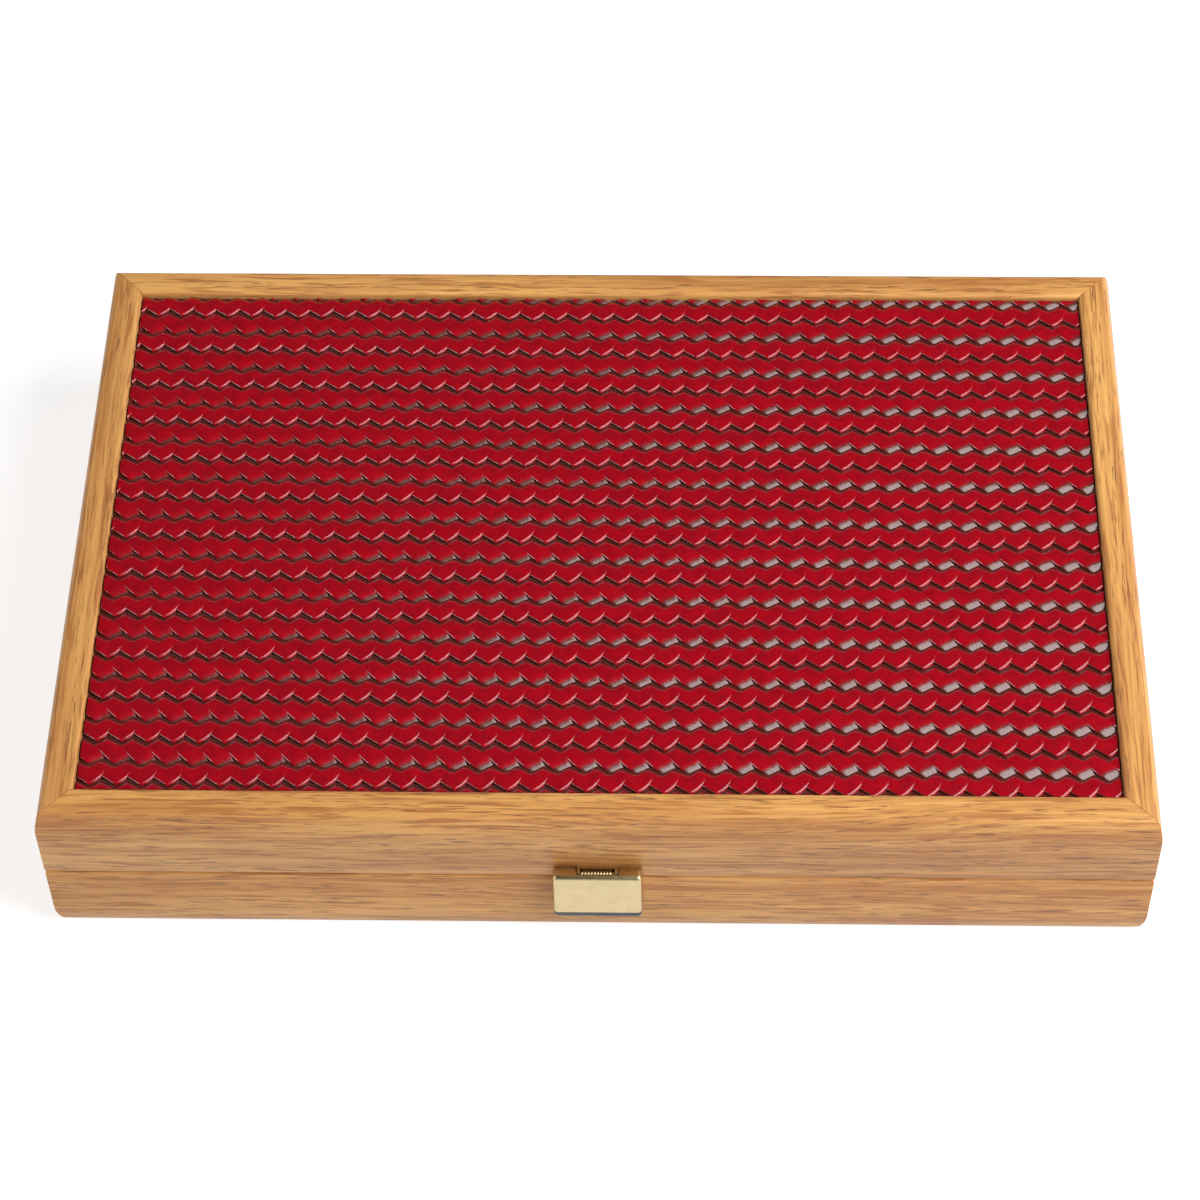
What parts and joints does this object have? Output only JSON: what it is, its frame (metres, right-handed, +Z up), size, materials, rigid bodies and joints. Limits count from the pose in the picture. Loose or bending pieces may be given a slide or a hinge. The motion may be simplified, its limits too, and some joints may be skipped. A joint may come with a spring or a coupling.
{
  "type": "travel backgammon case",
  "caption": "Shallow hinged wooden game case with braided red panels, a sprung brass clasp and a backgammon board, checkers and dice inside.",
  "frame": {"origin": "on the table, under the middle of the closed case", "axes": "+X along the case's length, -Y towards the front with the clasp, +Z up"},
  "size_m": [0.3, 0.2066, 0.052],
  "materials": {
    "rail_wood": "satin",
    "braided_leatherette": "gloss",
    "panel_board": "matte",
    "field_veneer": "satin",
    "light_veneer": "satin",
    "red_veneer": "satin",
    "light_checker_wood": "satin",
    "dark_checker_wood": "satin",
    "dice_ivory": "gloss",
    "spring_steel": "polished",
    "polished_brass": "polished"
  },
  "bodies": {
    "base": {"base_front_rail": "rail_wood", "base_rear_rail": "rail_wood", "base_left_rail": "rail_wood", "base_right_rail": "rail_wood", "base_core_panel": "panel_board", "base_braided_inlay": "braided_leatherette", "base_field_board": "field_veneer", "base_light_points": "light_veneer", "base_dark_points": "red_veneer", "base_hinge_leaf_left": "polished_brass", "base_hinge_leaf_right": "polished_brass", "base_hinge_screws": "polished_brass", "hinge_pins": "polished_brass", "clasp_catch": "polished_brass", "catch_screws": "polished_brass", "light_checkers": "light_checker_wood", "dark_checkers": "dark_checker_wood", "dice": "dice_ivory"},
    "lid": {"lid_front_rail": "rail_wood", "lid_rear_rail": "rail_wood", "lid_left_rail": "rail_wood", "lid_right_rail": "rail_wood", "lid_core_panel": "panel_board", "lid_braided_inlay": "braided_leatherette", "lid_field_board": "field_veneer", "lid_light_points": "light_veneer", "lid_dark_points": "red_veneer", "lid_hinge_leaf_left": "polished_brass", "lid_hinge_leaf_right": "polished_brass", "lid_hinge_screws": "polished_brass", "clasp_bracket": "polished_brass", "bracket_screws": "polished_brass", "clasp_pin": "polished_brass", "clasp_spring": "spring_steel"},
    "clasp_flap": {"clasp_flap": "polished_brass"}
  },
  "joints": [
    {"name": "lid_hinge", "type": "hinge", "parent": "base", "child": "lid", "pos_m": [0, 0.10015, 0.026], "axis": [-1, 0, 0], "range_deg": [0, 180]},
    {"name": "clasp_flap_pivot", "type": "hinge", "parent": "lid", "child": "clasp_flap", "pos_m": [0, -0.1019, 0.0302], "axis": [-1, 0, 0], "range_deg": [0, 80], "stiffness_Nm_per_rad": 0.008, "springref_deg": -34.38}
  ]
}
